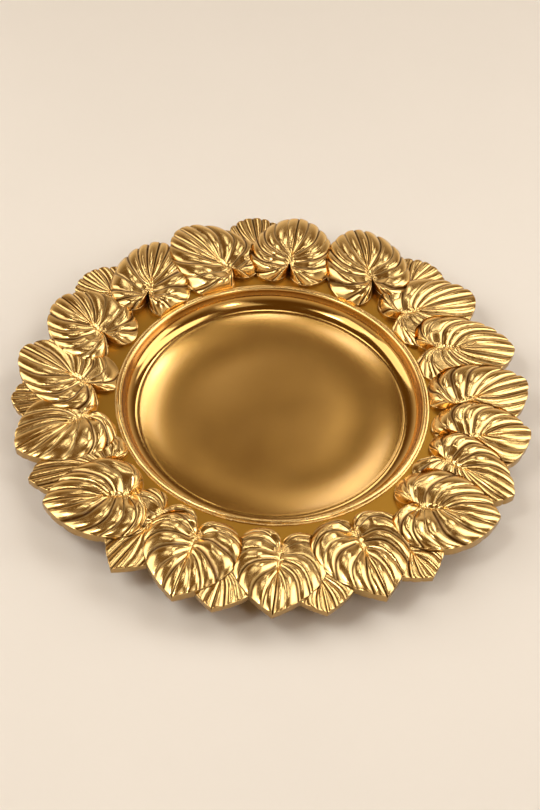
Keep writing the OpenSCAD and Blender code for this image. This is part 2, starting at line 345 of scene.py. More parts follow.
def bezier(handles, a):
    """One coordinate of a cubic curve."""
    b = 1 - a
    return (b ** 3 * handles[0] + 3 * b * b * a * handles[1]
            + 3 * b * a * a * handles[2] + a ** 3 * handles[3])


def length_property(name, text, millimetres):
    """A length among the settings."""
    return bpy.props.FloatProperty(name=name, description=text, default=millimetres * MM, unit="LENGTH")


def colour_property(name, text, hex_colour):
    """A colour among the settings."""
    return bpy.props.FloatVectorProperty(name=name, description=text, default=linear(hex_colour),
                                         subtype="COLOR")


class LeafSizes(bpy.types.PropertyGroup):
    """Sizes that all the leaves share"""
    plate_r: length_property("Outline radius", "Radius of the circle that the leaf tips reach", 164.8)
    edge: length_property("Edge", "Thickness of a leaf along its margin", 3)
    lobe_edge: length_property("Lobe edge", "Thickness at the margin of the lobes", 1.2)
    knot: length_property("Knot", "Thickness at the stem, where the pleats meet", 5.4)
    crown: length_property("Crown", "Rise of the crown above the margin", 3.68)
    relief: length_property("Pleat relief", "Height of the pleats above their grooves", 2.1)
    scallop: length_property("Scallop", "Depth of the scallops along the margin", 1.2)
    shoulder: length_property("Shoulder", "Radius of the rounded edge of the margin", 0.5)
    undercut: length_property("Undercut", "How far the wall leans in below the margin", 0.3)
    lift_step: length_property("Lift step", "Step by which a leaf is lifted over those that it laps", 0.5)
    lap_gap: length_property("Lap gap", "Gap between leaves that lap", 0.2)
    pleats: bpy.props.IntProperty(
        name="Pleats", description="Pleats on each side of the midrib", default=8, min=5, max=9)


class DishSizes(bpy.types.PropertyGroup):
    """Sizes of the turned pieces"""
    sheet: length_property("Sheet", "Thickness of the spun sheet", 1.6)
    hem: length_property("Hem", "Thickness of the round hem", 3.6)
    depth: length_property("Well depth", "Depth of the well below the rim", 13.8)
    cove: length_property("Cove", "Radius of the cove round the floor", 10.6)
    neck: length_property("Neck", "Radius of the fillet under the rim", 2)
    border: length_property("Border", "Width of the turned-up border of the floor", 45)
    border_rise: length_property("Border rise", "Rise of the floor over that border", 3.2)
    crease: length_property("Crease", "Radius of the groove between floor and cove", 0.3)
    groove: length_property("Groove", "Depth of that groove below the edge of the floor", 0.2)
    bead: length_property("Bead", "Width of the half-round bead", 3.4)
    step: length_property("Step", "Width of the flat step outside the bead", 1)
    step_h: length_property("Step height", "Height of that step", 0.6)
    foot: length_property("Foot", "Width of the foot ring at the floor", 7)
    foot_face: length_property("Foot face", "Width of the face on the table", 4.4)
    segments: bpy.props.IntProperty(
        name="Segments", description="Steps round a turned piece", default=288, min=32)


class Finishes(bpy.types.PropertyGroup):
    """Colours of the lacquer and the wax; the wax and the darker rim also paint shade"""
    gold: colour_property("Gold", "Lacquer on the burnished leaves", "#E6C07A")
    satin: colour_property("Satin gold", "Lacquer on the brushed dish", "#C0944C")
    # The rim is drawn darker than the well: painted shade under and between the leaves
    rim: colour_property("Rim gold", "Lacquer on the matt rim", "#A0742A")
    bright: colour_property("Bright gold", "Lacquer on the polished bead", "#E8C27C")
    # The wax colour is also the painted shade in the grooves and on the margin's wall
    wax_and_shade: colour_property("Wax", "Dark wax left in the grooves", "#5C3808")


class StageSettings(bpy.types.PropertyGroup):
    """Floor, light and camera"""
    floor: colour_property("Floor", "Colour of the floor", "#ECE4D7")
    backdrop: colour_property("Backdrop", "Colour that the floor runs into", "#F1DFC9")
    ambient: colour_property("Ambient", "Colour of the even light from all round", "#E8AC4E")
    world: bpy.props.FloatProperty(
        name="World", description="Strength of the even light from all round", default=0.2)
    wall_colour: colour_property("Wall colour", "Colour of the pale wall that the metal mirrors", "#F8EEDC")
    wall: bpy.props.FloatProperty(
        name="Wall", description="Strength of the pale wall that the metal mirrors", default=0.85)
    distance: length_property("Distance", "From the camera to its target", 930)
    elevation: bpy.props.FloatProperty(
        name="Elevation", description="Camera's angle above the table",
        default=math.radians(49.85), unit="ROTATION")
    roll: bpy.props.FloatProperty(
        name="Roll", description="Camera's turn about its axis",
        default=math.radians(3.68), unit="ROTATION")
    lens: bpy.props.FloatProperty(
        name="Lens", description="Focal length on a 36 mm long side", default=65.39, unit="CAMERA")
    target: bpy.props.FloatVectorProperty(
        name="Target", description="Point that the camera looks at", subtype="TRANSLATION", unit="LENGTH",
        default=(-1.35 * MM, -7.66 * MM, 19.7 * MM))


class ChargerPlate(bpy.types.PropertyGroup):
    """All the settings of the plate"""
    leaf: bpy.props.PointerProperty(type=LeafSizes)
    dish: bpy.props.PointerProperty(type=DishSizes)
    finish: bpy.props.PointerProperty(type=Finishes)
    stage: bpy.props.PointerProperty(type=StageSettings)


def new_material(name):
    """A material with its tree and shader to fill in, or without them if it was made before."""
    material = bpy.data.materials.get(name)
    if material:
        return material, None, None
    material = bpy.data.materials.new(name)
    material.use_nodes = True
    return material, material.node_tree, material.node_tree.nodes["Principled BSDF"]


def burnished_gold(finish):
    """Cast aluminium under gold lacquer: burnished ridges with long highlights, dark wax and painted shade
    in the grooves.
    """
    material, tree, shader = new_material("burnished cast aluminium, gold lacquer")
    if not tree:
        return material
    # The groove attribute holds the wax and the painted shade of the grooves and the margin's wall
    groove = add_node(tree, "ShaderNodeAttribute", attribute_name="groove").outputs["Fac"]
    place = add_node(tree, "ShaderNodeTexCoord").outputs["Object"]
    # Burnished by hand, so the gloss changes softly over about 4 mm
    waves = add_node(tree, "ShaderNodeTexNoise", {"Vector": place, "Scale": 1 / (4 * MM), "Detail": 2})
    colour = add_node(tree, "ShaderNodeMix", {0: groove, 6: (*finish.gold, 1), 7: (*finish.wax_and_shade, 1)},
                      data_type="RGBA")
    rough = add_node(tree, "ShaderNodeMapRange", {"Value": waves.outputs["Fac"], "From Min": 0.35,
                                                  "From Max": 0.65, "To Min": 0.16, "To Max": 0.24})
    # The wax and the painted shade are duller than the metal
    dull = add_node(tree, "ShaderNodeMath", {0: groove, 1: 0.25, 2: rough.outputs[0]},
                    operation="MULTIPLY_ADD")
    shader.inputs["Metallic"].default_value = 1
    tree.links.new(colour.outputs[2], shader.inputs["Base Color"])
    tree.links.new(dull.outputs[0], shader.inputs["Roughness"])
    shader.inputs["Coat Weight"].default_value = 0.25
    shader.inputs["Coat Roughness"].default_value = 0.16
    return material


def satin_gold(finish, sizes):
    """Spun aluminium under gold lacquer: fine turning lines, satin floor, polished cove and matt rim."""
    material, tree, shader = new_material("spun aluminium, satin gold lacquer")
    if not tree:
        return material
    mouth_r = mouth_radius(sizes)
    floor_r = mouth_r - sizes.cove
    place = add_node(tree, "ShaderNodeTexCoord").outputs["Object"]
    flat = add_node(tree, "ShaderNodeVectorMath", {0: place, 1: (1, 1, 0)}, operation="MULTIPLY")
    radius = add_node(tree, "ShaderNodeVectorMath", {0: flat.outputs[0]}, operation="LENGTH")
    radius = radius.outputs["Value"]
    cove_in = add_node(tree, "ShaderNodeMapRange", {"Value": radius, "From Min": floor_r - 0.5 * MM,
                                                    "From Max": floor_r + 1 * MM, "To Min": 0.16,
                                                    "To Max": 0.09})
    on_rim = add_node(tree, "ShaderNodeMapRange", {"Value": radius, "From Min": mouth_r - 0.5 * MM,
                                                   "From Max": mouth_r + 1 * MM})
    # On the rim the colour turns darker: painted shade under and between the leaves
    colour = add_node(tree, "ShaderNodeMix", {0: on_rim.outputs[0], 6: (*finish.satin, 1),
                                              7: (*finish.rim, 1)}, data_type="RGBA")
    rough = add_node(tree, "ShaderNodeMath", {0: on_rim.outputs[0], 1: 0.28, 2: cove_in.outputs[0]},
                     operation="MULTIPLY_ADD")
    # Clear lacquer in the well alone
    coat = add_node(tree, "ShaderNodeMath", {0: on_rim.outputs[0], 1: -0.6, 2: 0.6},
                    operation="MULTIPLY_ADD")
    # Turning lines are drawn 0.8 mm apart, coarser than real ones, so that they show
    lines = add_node(tree, "ShaderNodeTexNoise", {"W": radius, "Scale": 1 / (0.8 * MM), "Detail": 2},
                     noise_dimensions="1D")
    # Handling changes the gloss in clouds about 30 mm wide
    cloud = add_node(tree, "ShaderNodeTexNoise", {"Vector": place, "Scale": 1 / (30 * MM), "Detail": 2})
    spread = add_node(tree, "ShaderNodeMath", {0: cloud.outputs["Fac"], 1: 0.06, 2: rough.outputs[0]},
                      operation="MULTIPLY_ADD")
    bump = add_node(tree, "ShaderNodeBump", {"Height": lines.outputs["Fac"], "Strength": 0.01,
                                             "Distance": 0.05 * MM})
    shader.inputs["Metallic"].default_value = 1
    tree.links.new(colour.outputs[2], shader.inputs["Base Color"])
    tree.links.new(coat.outputs[0], shader.inputs["Coat Weight"])
    shader.inputs["Coat Roughness"].default_value = 0.12
    tree.links.new(spread.outputs[0], shader.inputs["Roughness"])
    tree.links.new(bump.outputs[0], shader.inputs["Normal"])
    return material


def bright_gold(finish):
    """Turned and polished aluminium under gold lacquer: a thin bright line with faint handling marks."""
    material, tree, shader = new_material("polished aluminium, gold lacquer")
    if not tree:
        return material
    place = add_node(tree, "ShaderNodeTexCoord").outputs["Object"]
    # Marks about 6 mm wide
    marks = add_node(tree, "ShaderNodeTexNoise", {"Vector": place, "Scale": 1 / (6 * MM), "Detail": 3})
    rough = add_node(tree, "ShaderNodeMapRange", {"Value": marks.outputs["Fac"], "From Min": 0.3,
                                                  "From Max": 0.7, "To Min": 0.2, "To Max": 0.28})
    shader.inputs["Metallic"].default_value = 1
    shader.inputs["Base Color"].default_value = (*finish.bright, 1)
    tree.links.new(rough.outputs[0], shader.inputs["Roughness"])
    return material


def shown_rays(tree):
    """1 for rays from the camera and for those that gloss or glass sends on, 0 for the rest."""
    path = add_node(tree, "ShaderNodeLightPath").outputs
    sent_on = add_node(tree, "ShaderNodeMath", {0: path["Is Glossy Ray"], 1: path["Is Transmission Ray"]},
                       operation="MAXIMUM")
    shown = add_node(tree, "ShaderNodeMath", {0: path["Is Camera Ray"], 1: sent_on.outputs[0]},
                     operation="MAXIMUM")
    return shown.outputs[0]


def cream_plaster(stage):
    """Trowelled plaster in cream paint: matt, with faint clouds. Far off it runs into a backdrop."""
    material, tree, shader = new_material("cream plaster")
    if not tree:
        return material
    place = add_node(tree, "ShaderNodeTexCoord").outputs["Object"]
    # Clouds a hand wide
    cloud = add_node(tree, "ShaderNodeTexNoise", {"Vector": place, "Scale": 1 / (120 * MM), "Detail": 3})
    darker = [CLOUD_SHARE * c for c in stage.floor]
    tint = add_node(tree, "ShaderNodeMix", {0: cloud.outputs["Fac"], 6: (*stage.floor, 1), 7: (*darker, 1)},
                    data_type="RGBA")
    tree.links.new(tint.outputs[2], shader.inputs["Base Color"])
    shader.inputs["Roughness"].default_value = 0.8
    # The backdrop shows to the camera and in the metal, and lights nothing
    away = add_node(tree, "ShaderNodeVectorMath", {0: place}, operation="LENGTH").outputs["Value"]
    fade = add_node(tree, "ShaderNodeMapRange", {"Value": away, "From Min": BACKDROP_FROM[0],
                                                 "From Max": BACKDROP_FROM[1]},
                    interpolation_type="SMOOTHSTEP")
    share = add_node(tree, "ShaderNodeMath", {0: fade.outputs[0], 1: shown_rays(tree)},
                     operation="MULTIPLY")
    pale = add_node(tree, "ShaderNodeEmission", {"Color": (*stage.backdrop, 1)})
    both = add_node(tree, "ShaderNodeMixShader",
                    {0: share.outputs[0], 1: shader.outputs[0], 2: pale.outputs[0]})
    tree.links.new(both.outputs[0], tree.nodes["Material Output"].inputs["Surface"])
    return material


def new_piece(name, data):
    """An object at the origin, in the scene."""
    piece = bpy.data.objects.new(name, data)
    bpy.context.scene.collection.objects.link(piece)
    return piece


def dress(piece, node):
    """Puts a finished piece in the place of its CAD node."""
    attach(piece, "root")
    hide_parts(node)


def arc(centre, radius, start, end, steps):
    """Points from one angle to another, in degrees, on a circle in the plane of a profile."""
    angles = [math.radians(start + (end - start) * k / steps) for k in range(steps + 1)]
    return [(centre[0] + radius * math.cos(a), centre[1] + radius * math.sin(a)) for a in angles]


def turned(name, profile, segments, material):
    """Turns a closed profile of radii and heights about the Z axis. Points on the axis become poles."""
    mesh = bpy.data.meshes.new(name)
    form = bmesh.new()
    rings = []
    for radius, height in profile:
        steps = segments if radius > ON_AXIS else 1
        angles = [math.tau * k / steps for k in range(steps)]
        rings.append([form.verts.new((radius * math.cos(a), radius * math.sin(a), height)) for a in angles])
    for inner, outer in zip(rings, rings[1:] + rings[:1]):
        for k in range(segments):
            corners = [inner[k % len(inner)], outer[k % len(outer)],
                       outer[(k + 1) % len(outer)], inner[(k + 1) % len(inner)]]
            corners = list(dict.fromkeys(corners))
            if len(corners) > 2:
                form.faces.new(corners)
    bmesh.ops.recalc_face_normals(form, faces=form.faces)
    form.to_mesh(mesh)
    form.free()
    mesh.shade_smooth()
    mesh.set_sharp_from_angle(angle=math.radians(SHARP_TURNED))
    mesh.materials.append(material)
    return new_piece(name, mesh)


def mouth_radius(sizes):
    """Radius of the well's mouth, inside the bead."""
    return BEAD_OUT_R - sizes.step - sizes.bead


def dish_profile(sizes):
    """Radii and heights of the dish, from the middle of the floor over the rim to the underside."""
    mouth_r = mouth_radius(sizes)
    floor_r = mouth_r - sizes.cove
    floor_z = RIM_Z - sizes.depth
    base_z = floor_z - sizes.sheet
    border_in = floor_r - sizes.border
    middle = [(border_in * k / FLOOR_STEPS, floor_z) for k in range(FLOOR_STEPS)]
    # The border rises with the cube of its width, up to the groove along the cove
    shares = [k / BORDER_STEPS * (1 - sizes.crease / sizes.border) for k in range(BORDER_STEPS + 1)]
    border = [(border_in + a * sizes.border, floor_z + sizes.border_rise * a ** 3) for a in shares]
    cove_z = floor_z + sizes.border_rise - sizes.groove
    crease_turn = math.degrees(math.asin((border[-1][1] - cove_z - sizes.crease) / sizes.crease))
    crease = arc((floor_r, cove_z + sizes.crease), sizes.crease, 180 - crease_turn, 270, CREASE_STEPS)
    cove_centre = (floor_r, cove_z + sizes.cove)
    cove = arc(cove_centre, sizes.cove, -90, 0, COVE_STEPS)
    hem_r = sizes.hem / 2
    rim = [(mouth_r, RIM_Z), (RIM_R - hem_r, RIM_Z)]
    hem_end = -180 - math.degrees(math.asin((hem_r - sizes.sheet) / hem_r))
    hem = arc((RIM_R - hem_r, RIM_Z - hem_r), hem_r, 90, hem_end, HEM_STEPS)
    # Under the rim a fillet runs into the outside of the cove
    outer = sizes.cove + sizes.sheet
    neck_z = RIM_Z - sizes.sheet - sizes.neck
    neck_r = floor_r + math.sqrt((outer + sizes.neck) ** 2 - (cove_centre[1] - neck_z) ** 2)
    lean = math.degrees(math.atan2(cove_centre[1] - neck_z, neck_r - floor_r))
    neck = arc((neck_r, neck_z), sizes.neck, 90, 180 - lean, NECK_STEPS)
    under = arc(cove_centre, outer, -lean, -90, UNDER_STEPS)
    base = [(FOOT_TOP.x, base_z), (0, base_z)]
    return middle + border + crease + cove[1:] + rim + hem[1:] + neck + under[1:] + base


def leaf_margin(leaf, t):
    """Margin of half a leaf in the leaf's own axes, at a place along it."""
    tip_handles = [(mix(p[0], q[0], leaf.roundness) * leaf.tip_length,
                    mix(p[1], q[1], leaf.roundness) * leaf.half_width)
                   for p, q in zip(POINTED_HANDLES, ROUNDED_HANDLES)]
    lobe_handles = tip_handles[3:] + [(leaf.lobe_reach * x, leaf.half_width * y) for x, y in LOBE_HANDLES]
    ahead = t.math("LESS_THAN", 0.5)
    return [mix(bezier([h[k] for h in lobe_handles], clamped(2 * t - 1)),
                bezier([h[k] for h in tip_handles], clamped(2 * t)), ahead) for k in (0, 1)]


def drawn(tree, low, high, number, seed):
    """A field with a chance value from a range for each number."""
    node = add_node(tree, "FunctionNodeRandomValue", {2: low, 3: high, "ID": number, "Seed": seed})
    return Field(node.outputs[1])


def leaf_pleats(tree, leaf, at):
    """Pleats of uneven width and depth: how deep the grooves are, and how far a pleat swells above them."""
    half = leaf.seed * 2 + at.left
    drift = drawn(tree, 0, 1, half, 3)
    sway = ((SWAY_TURNS * at.t + drift) * math.tau).math("SINE")
    sway = sway + VEIN_SWAY * ((VEIN_TURNS * at.s + drift) * math.tau).math("SINE")
    phase = leaf.pleats * at.t * (1 + CROWDING * (1 - at.t)) + SWAY * sway * at.t * (1 - at.t)
    number = (phase + ON_GROOVE).math("FLOOR")
    share = clamped(phase - number)
    pleat = number + PLEAT_IDS * half
    lean = drawn(tree, *LEANS, pleat, 11)
    # Place across the pleat, from -1 to 1
    x = 2 * share ** lean - 1
    groove = pleat + x.math("GREATER_THAN", 0)
    depth = drawn(tree, *DEPTHS, groove, 5)
    # At the notch the groove is a full one on both halves, so that they join
    depth = (depth + smooth(at.t, NOTCH_FROM, 1)).math("MINIMUM", 1)
    hollow = depth * (1 - (1 - (x * x).math("MINIMUM", 1)) ** 0.5)
    gain = drawn(tree, *GAINS, pleat, 8)
    swelling = 1 - hollow + gain * (1 - x * x)
    return hollow, swelling


def leaf_veins(leaf, at, margin, hollow):
    """Point of a vein that bows to the margin, in the leaf's own axes, and its root on the midrib."""
    branch = leaf.tip_length * mix(BRANCH_SHARES[0], BRANCH_SHARES[1], leaf.roundness)
    root = (branch * (1 - at.t / FAN_FROM)).math("MAXIMUM", 0)
    run_x, run_y = margin[0] - root, margin[1]
    run = length(run_x, run_y)
    out = (run_x / run, run_y / run)
    wave = ((1 - hollow - 0.5) * smooth(at.t, 0, PLAIN_ENDS) * smooth(1 - at.t, 0, PLAIN_ENDS)
            * leaf.scallop * mix(POINTED_SCALLOP, 1, leaf.roundness))
    reach = (wave + leaf.margin_gap - leaf.shoulder) / leaf.plan_unit
    start = (root, 0)
    end = [margin[k] + out[k] * reach for k in (0, 1)]
    bow = VEIN_BOW * (clamped(at.t / STRAIGHT_FROM) * math.pi).math("SINE") * run
    across = (0 - out[1], out[0])
    bend = [(start[k] + end[k]) / 2 + bow * across[k] for k in (0, 1)]
    back = 1 - at.s
    vein = [back * back * start[k] + 2 * back * at.s * bend[k] + at.s * at.s * end[k] for k in (0, 1)]
    lip = (leaf.shoulder * at.turn_down.math("SINE") - leaf.undercut * at.down) / leaf.plan_unit
    flat = [mix(vein[k] + out[k] * lip, start[k], at.under) for k in (0, 1)]
    return flat, root


def leaf_crown(leaf, at, along):
    """Height of the crown on each side of the midrib. A lapped half only slopes down to its margin."""
    even = (leaf.left_sink + leaf.right_sink) / 2
    settle = (SETTLE_RATE * at.t).math("MINIMUM", SETTLE_RATE * (1 - at.t)).math("MINIMUM", 1)
    sink = mix(even, mix(leaf.right_sink, leaf.left_sink, at.left), settle)
    flank = smooth(at.t, *FLANKS) - smooth(at.t, *LOBES)
    fall = (1 - at.s ** CROWN_POWER) ** mix(1, FLANK_POWER, flank)
    full = fall * mix(MIDRIB_SHARE, 1, smooth(at.s, 0, RISE_SHARE))
    back = 1 - at.s
    slope = MIDRIB_SHARE * back * back
    return leaf.crown * (1 - LAPPED_LOSS * even) * (1 - along ** TIP_POWER) * mix(full, slope, sink)


def leaf_foot(leaf, at, margin):
    """Thickness of the leaf under its crown, which is less along a margin beside the well."""
    cosine, sine = leaf.turn.math("COSINE"), leaf.turn.math("SINE")
    radial = leaf.stem_radius + margin[0] * cosine - margin[1] * at.side * sine
    sideways = margin[0] * sine + margin[1] * at.side * cosine
    outside = length(radial, sideways) - BEAD_SHARE
    full = leaf.edge + leaf.lift
    return mix(full, mix(leaf.lobe_edge, full, smooth(outside, *WELL_SIDE)), smooth(at.s, EDGE_FROM, 1))


def leaf_height(leaf, at, margin, flat, root, swelling):
    """Height above the rim: a crown on each side of the midrib, pleats on it, and nodules at the stem."""
    along = root / leaf.tip_length
    dome = leaf_crown(leaf, at, along)
    foot = leaf_foot(leaf, at, margin)
    # The height of a pleat follows its width, so it tapers to the stem, and less so along the midrib
    width = mix(ROOT_SHARE * smooth(FAN_FROM - at.t, 0, FAN_BLEND), 1, at.s)
    past = clamped((at.s - SINK_FROM) / (1 - SINK_FROM))
    left_over = mix(*MARGIN_RELIEF, smooth(at.t, *PAST_TIP))
    swell = (smooth(at.s, 0, RIB_SHARE) * clamped(width / FULL_WIDTH)
             * mix(left_over, 1, (1 - past * past).math("SQRT")))
    # A cluster of nodules at the stem, in rows across the midrib
    rows = [abs((flat[k] * leaf.plan_unit * (math.pi / NODULE)).math("SINE")) for k in (0, 1)]
    near = 1 - smooth(length(*flat) * leaf.plan_unit, *CLUSTER)
    nodules = NODULE_H * rows[0] * rows[1] * near * (1 - at.down)
    body = mix(leaf.knot, foot + dome, smooth(at.s + KNOT_RATE * along, 0, KNOT_REACH))
    top = body + leaf.relief * swelling * swell + nodules
    return mix(top - leaf.shoulder * (1 - at.turn_down.math("COSINE")), 0, at.down)


def leaf_on_plate(tree, leaf, at, flat, z):
    """Place of a point on the plate: turned on the plan, then set on the band along its radius."""
    local = (flat[0], flat[1] * at.side)
    far = leaf.bearing + leaf.turn
    plan_x = (leaf.stem_radius * leaf.bearing.math("COSINE")
              + local[0] * far.math("COSINE") - local[1] * far.math("SINE"))
    plan_y = (leaf.stem_radius * leaf.bearing.math("SINE")
              + local[0] * far.math("SINE") + local[1] * far.math("COSINE"))
    plan_r = length(plan_x, plan_y)
    stretch = (leaf.bead_radius + (plan_r - BEAD_SHARE) * leaf.plan_unit) / plan_r
    # A lobe that reaches the bead rolls down towards it
    inward = 1 - clamped((plan_r - BEAD_SHARE - ROLL_FROM[0]) / (ROLL_FROM[1] - ROLL_FROM[0]))
    z = z * mix(ROLL_LEFT, 1, (1 - inward * inward).math("SQRT"))
    spot = (plan_x * stretch, plan_y * stretch, z + leaf.seat_height)
    return add_node(tree, "ShaderNodeCombineXYZ", enumerate(spot)).outputs[0]


def leaf_tree(columns):
    """Geometry of one pleated leaf: a grid whose rows run from the midrib over the top and round the margin
    to the underside, and whose columns are the veins, from the notch over the right half and the tip to the
    notch again."""
    tree = bpy.data.node_groups.new("pleated leaf", "GeometryNodeTree")
    tree.interface.new_socket(name="Geometry", in_out="OUTPUT", socket_type="NodeSocketGeometry")
    for name in LEAF_INPUTS:
        tree.interface.new_socket(name=name, in_out="INPUT", socket_type="NodeSocketFloat")
    tree.interface.new_socket(name="Finish", in_out="INPUT", socket_type="NodeSocketMaterial")
    given = add_node(tree, "NodeGroupInput").outputs
    leaf = SimpleNamespace(**{name.lower().replace(" ", "_"): Field(given[name]) for name in LEAF_INPUTS})

    last = TOP_RINGS + SHOULDER_RINGS + WALL_RINGS + UNDER_RINGS
    grid = add_node(tree, "GeometryNodeMeshGrid",
                    {"Size X": last, "Size Y": 2, "Vertices X": last + 1, "Vertices Y": columns})
    place = add_node(tree, "GeometryNodeInputPosition").outputs[0]
    split = add_node(tree, "ShaderNodeSeparateXYZ", {0: place}).outputs
    ring = Field(split[0]) + last / 2
    signed = Field(split[1])
    u = clamped(ring / TOP_RINGS)
    # Where a point lies: along the margin, along a vein, on which half, and how far round the margin
    at = SimpleNamespace(t=clamped(abs(signed)), side=signed.math("SIGN"))
    at.left = (at.side + 1) / 2
    at.s = u - RING_CROWDING * (u * math.tau).math("SINE")
    at.round = clamped((ring - TOP_RINGS) / SHOULDER_RINGS)
    at.turn_down = at.round * (math.pi / 2)
    at.down = clamped((ring - TOP_RINGS - SHOULDER_RINGS) / WALL_RINGS)
    at.under = clamped((ring - TOP_RINGS - SHOULDER_RINGS - WALL_RINGS) / UNDER_RINGS)

    margin = leaf_margin(leaf, at.t)
    hollow, swelling = leaf_pleats(tree, leaf, at)
    flat, root = leaf_veins(leaf, at, margin, hollow)
    height = leaf_height(leaf, at, margin, flat, root, swelling)
    spot = leaf_on_plate(tree, leaf, at, flat, height)
    # Dark wax with painted shade: stronger the deeper the groove, and at half strength round the margin's
    # shoulder, on its wall and below
    wax_and_shade = mix(smooth(clamped(hollow) * smooth(at.s, *WAX_AND_SHADE_FROM), *WAX_AND_SHADE_DEPTHS), PAINTED_WALL_SHADE, at.round)

    waxed_and_shaded = add_node(tree, "GeometryNodeStoreNamedAttribute",
                     {"Geometry": grid.outputs[0], "Name": "groove", "Value": wax_and_shade},
                     data_type="FLOAT", domain="POINT")
    shaped = add_node(tree, "GeometryNodeSetPosition", {"Geometry": waxed_and_shaded.outputs[0], "Position": spot})
    # Closes the midrib, the notch and the stem, where columns meet
    closed = add_node(tree, "GeometryNodeMergeByDistance",
                      {"Geometry": shaped.outputs[0], "Distance": MERGE})
    real = add_node(tree, "GeometryNodeRealizeInstances", {"Geometry": closed.outputs[0]})
    finished = add_node(tree, "GeometryNodeSetMaterial",
                        {"Geometry": real.outputs[0], "Material": given["Finish"]})
    add_node(tree, "NodeGroupOutput", {0: finished.outputs[0]})
    return tree


def leaf_values(number, sizes, bead_r):
    """Inputs of the tree for one leaf of the plan."""
    bearing, out, turn, width, lobe, inset, roundness, lift, left, right = LEAF_ROWS[number]
    stem_r = BEAD_SHARE + out
    reach = BEAD_SHARE + BAND - inset
    angle = math.radians(turn)
    tip = math.sqrt(reach ** 2 - (stem_r * math.sin(angle)) ** 2) - stem_r * math.cos(angle)
    return {
        "Tip length": tip, "Half width": width / 2, "Lobe reach": lobe, "Roundness": roundness,
        "Lift": lift * sizes.lift_step, "Left sink": left, "Right sink": right,
        "Bearing": math.radians(bearing), "Stem radius": stem_r, "Turn": angle, "Seed": number,
        "Edge": sizes.edge, "Lobe edge": sizes.lobe_edge, "Knot": sizes.knot, "Crown": sizes.crown,
        "Relief": sizes.relief, "Pleats": sizes.pleats, "Scallop": sizes.scallop,
        "Shoulder": sizes.shoulder, "Undercut": sizes.undercut, "Margin gap": 0, "Seat height": RIM_Z,
        "Bead radius": bead_r, "Plan unit": (sizes.plate_r - bead_r) / BAND,
    }


def grown_leaf(name, tree, values, material):
    """An object whose modifier grows a leaf from the tree."""
    leaf = new_piece(name, bpy.data.meshes.new(name))
    grow = leaf.modifiers.new("pleated leaf", "NODES")
    grow.node_group = tree
    for item in tree.interface.items_tree:
        if item.in_out == "INPUT":
            value = material if item.name == "Finish" else values[item.name]
            grow[item.identifier] = float(value) if isinstance(value, int) else value
    return leaf


def trim(leaf, cutter):
    """Adds a modifier that cuts a leaf back."""
    cut = leaf.modifiers.new("lap", "BOOLEAN")
    cut.operation = "DIFFERENCE"
    cut.solver = "MANIFOLD"
    cut.object = cutter


class CHARGER_OT_dish(bpy.types.Operator):
    """Turn the dish: floor with a rising border, groove, cove, rim, round hem and neck"""
    bl_idname = "charger.dish"
    bl_label = "Dish"

    def execute(self, context):
        sizes, finish = context.scene.charger.dish, context.scene.charger.finish
        dish = turned("charger_dish", dish_profile(sizes), sizes.segments, satin_gold(finish, sizes))
        dress(dish, "dish")
        return {"FINISHED"}


class CHARGER_OT_foot(bpy.types.Operator):
    """Turn the foot ring that the plate stands on"""
    bl_idname = "charger.foot"
    bl_label = "Foot ring"

    def execute(self, context):
        sizes, finish = context.scene.charger.dish, context.scene.charger.finish
        middle = FOOT_TOP.x - sizes.foot / 2
        half, face = sizes.foot / 2, sizes.foot_face / 2
        profile = [(middle - face, FOOT_EASE), (middle - face + FOOT_EASE, 0),
                   (middle + face - FOOT_EASE, 0), (middle + face, FOOT_EASE),
                   (middle + half, FOOT_TOP.z), (middle - half, FOOT_TOP.z)]
        foot = turned("charger_foot_ring", profile, sizes.segments, satin_gold(finish, sizes))
        dress(foot, "foot_ring")
        return {"FINISHED"}


class CHARGER_OT_bead(bpy.types.Operator):
    """Turn the half-round bead and its step round the mouth of the well"""
    bl_idname = "charger.bead"
    bl_label = "Bead"

    def execute(self, context):
        sizes, finish = context.scene.charger.dish, context.scene.charger.finish
        radius = sizes.bead / 2
        middle = BEAD_OUT_R - sizes.step - radius
        meet = math.degrees(math.asin(sizes.step_h / radius))
        step_z = RIM_Z + sizes.step_h
        profile = arc((middle, RIM_Z), radius, 180, meet, BEAD_STEPS)
        profile += [(BEAD_OUT_R - BEAD_EASE, step_z), (BEAD_OUT_R, step_z - BEAD_EASE), (BEAD_OUT_R, RIM_Z)]
        bead = turned("charger_well_bead", profile, sizes.segments, bright_gold(finish))
        dress(bead, "well_bead")
        return {"FINISHED"}


